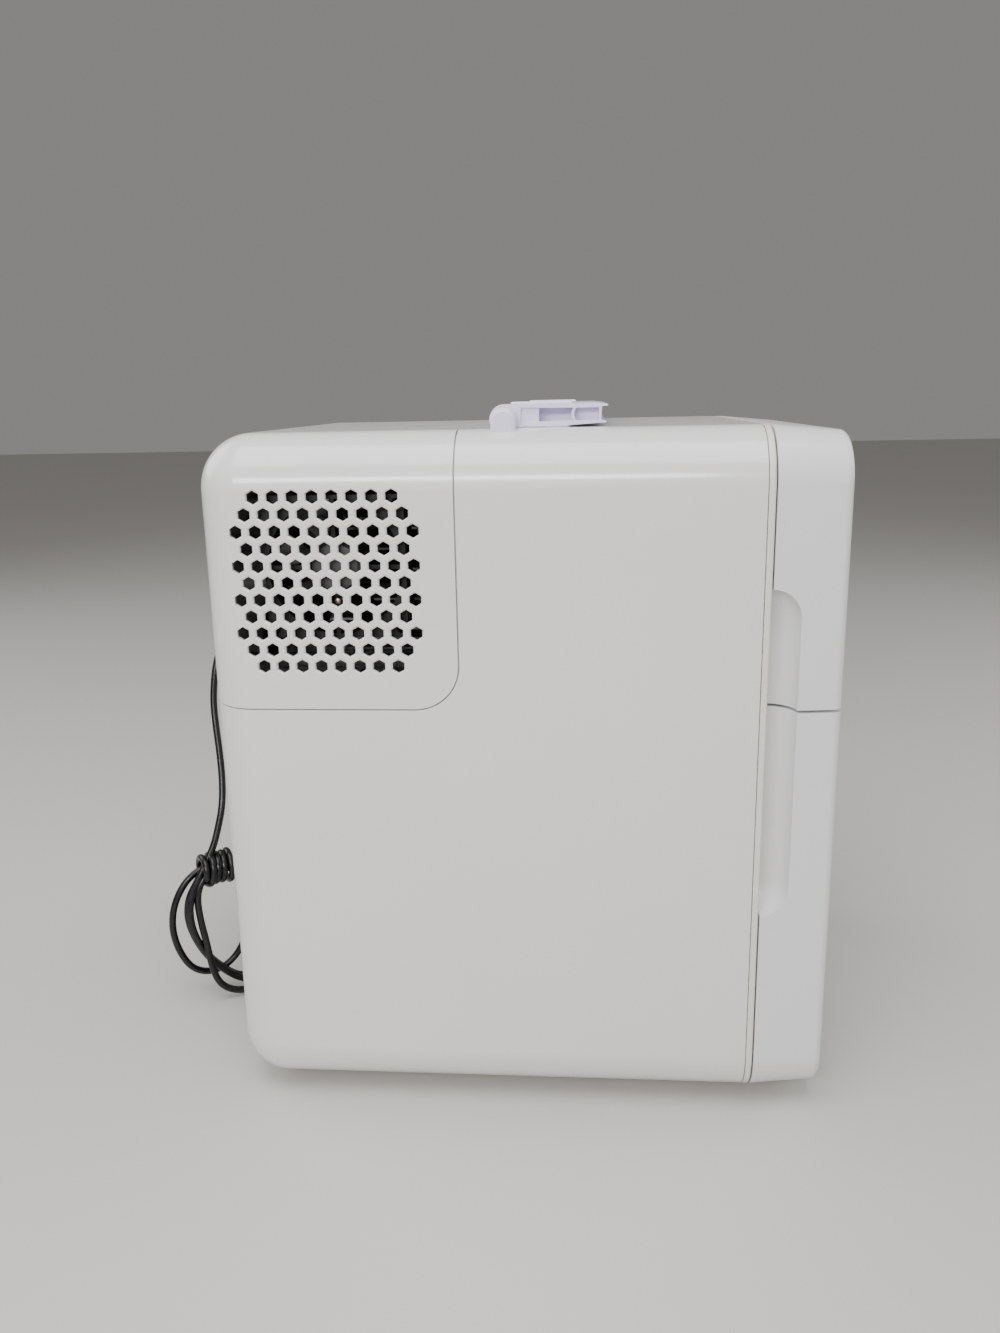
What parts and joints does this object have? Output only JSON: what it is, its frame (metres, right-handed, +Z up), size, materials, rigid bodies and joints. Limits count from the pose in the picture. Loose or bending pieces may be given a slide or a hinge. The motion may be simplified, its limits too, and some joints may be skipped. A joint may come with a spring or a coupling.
{
  "type": "mini fridge",
  "caption": "Compact white thermoelectric fridge with an upper and a lower door, hexagon vent grilles, a folding carry handle and a rear mains lead.",
  "frame": {"origin": "on the floor, under the centre of the cabinet and doors, measured without the mains lead", "axes": "+Z up, -Y to the doors (front), +X to the hinge side"},
  "size_m": [0.29, 0.4445, 0.4241],
  "materials": {
    "casing_white": "glossy white ABS",
    "door_white": "glossy cool white ABS",
    "frame_cream": "satin cream ABS",
    "liner_grey": "satin light grey polystyrene",
    "bin_clear": "clear frosted plastic",
    "foam": "expanded white foam",
    "seal_grey": "soft magnetic seal",
    "foot_rubber": "matt rubber",
    "aluminium": "extruded aluminium",
    "ceramic": "white ceramic plates",
    "steel": "zinc-plated steel",
    "handle_lilac": "satin lavender white plastic",
    "fan_black": "black moulded plastic",
    "supply_grey": "grey moulded case",
    "board_green": "green circuit board",
    "panel_black": "black moulded plastic",
    "cord_black": "glossy black cable sheath"
  },
  "bodies": {
    "cabinet": {"outer_shell": "casing_white", "rear_vent_cover": "casing_white", "front_frame": "frame_cream", "upper_liner": "liner_grey", "lower_liner": "liner_grey", "lower_shelf": "bin_clear", "foam_insulation": "foam", "feet": "foot_rubber", "cold_sink": "aluminium", "cold_block": "aluminium", "peltier_module": "ceramic", "hot_sink": "aluminium", "side_fan_frame": "fan_black", "inner_fan_frame": "fan_black", "inner_fan_cover": "liner_grey", "power_supply": "supply_grey", "control_board": "board_green", "rear_standoffs": "steel", "cover_screws": "steel", "rear_socket_plate": "panel_black", "switch_bezel": "panel_black", "top_hinge": "steel", "middle_hinge": "steel", "bottom_hinge": "steel", "left_handle_post": "handle_lilac", "right_handle_post": "handle_lilac", "handle_pins": "steel", "cord_relief": "cord_black", "power_cord": "cord_black", "power_cord_coil": "cord_black", "power_cord_tail": "cord_black", "cord_tie": "cord_black", "power_plug": "cord_black"},
    "upper_door": {"upper_door_skin": "door_white", "upper_door_foam": "foam", "upper_door_liner": "liner_grey", "upper_door_gasket": "seal_grey", "upper_door_bin": "bin_clear"},
    "lower_door": {"lower_door_skin": "door_white", "lower_door_foam": "foam", "lower_door_liner": "liner_grey", "lower_door_gasket": "seal_grey", "lower_door_bin_high": "bin_clear", "lower_door_bin_low": "bin_clear"},
    "handle": {"carry_handle": "handle_lilac", "handle_inlays": "handle_lilac"},
    "side_fan": {"side_fan_rotor": "fan_black"},
    "inner_fan": {"inner_fan_rotor": "fan_black"},
    "mode_switch": {"mode_switch_rocker": "panel_black"}
  },
  "joints": [
    {"name": "upper_door_swing", "type": "hinge", "parent": "cabinet", "child": "upper_door", "pos_m": [0.1385, -0.146, 0.32], "axis": [0, 0, 1], "range_deg": [0, 98]},
    {"name": "lower_door_swing", "type": "hinge", "parent": "cabinet", "child": "lower_door", "pos_m": [0.1385, -0.146, 0.15], "axis": [0, 0, 1], "range_deg": [0, 98]},
    {"name": "handle_lift", "type": "hinge", "parent": "cabinet", "child": "handle", "pos_m": [0, 0.0067, 0.4145], "axis": [-1, 0, 0], "range_deg": [0, 95]},
    {"name": "side_fan_spin", "type": "hinge", "parent": "cabinet", "child": "side_fan", "pos_m": [-0.125, 0.101, 0.3365], "axis": [1, 0, 0], "continuous": true},
    {"name": "inner_fan_spin", "type": "hinge", "parent": "cabinet", "child": "inner_fan", "pos_m": [0, 0.004, 0.323], "axis": [0, 1, 0], "continuous": true},
    {"name": "mode_switch_tilt", "type": "hinge", "parent": "cabinet", "child": "mode_switch", "pos_m": [-0.006, 0.1735, 0.276], "axis": [0, 0, 1], "range_deg": [-8, 8]}
  ]
}
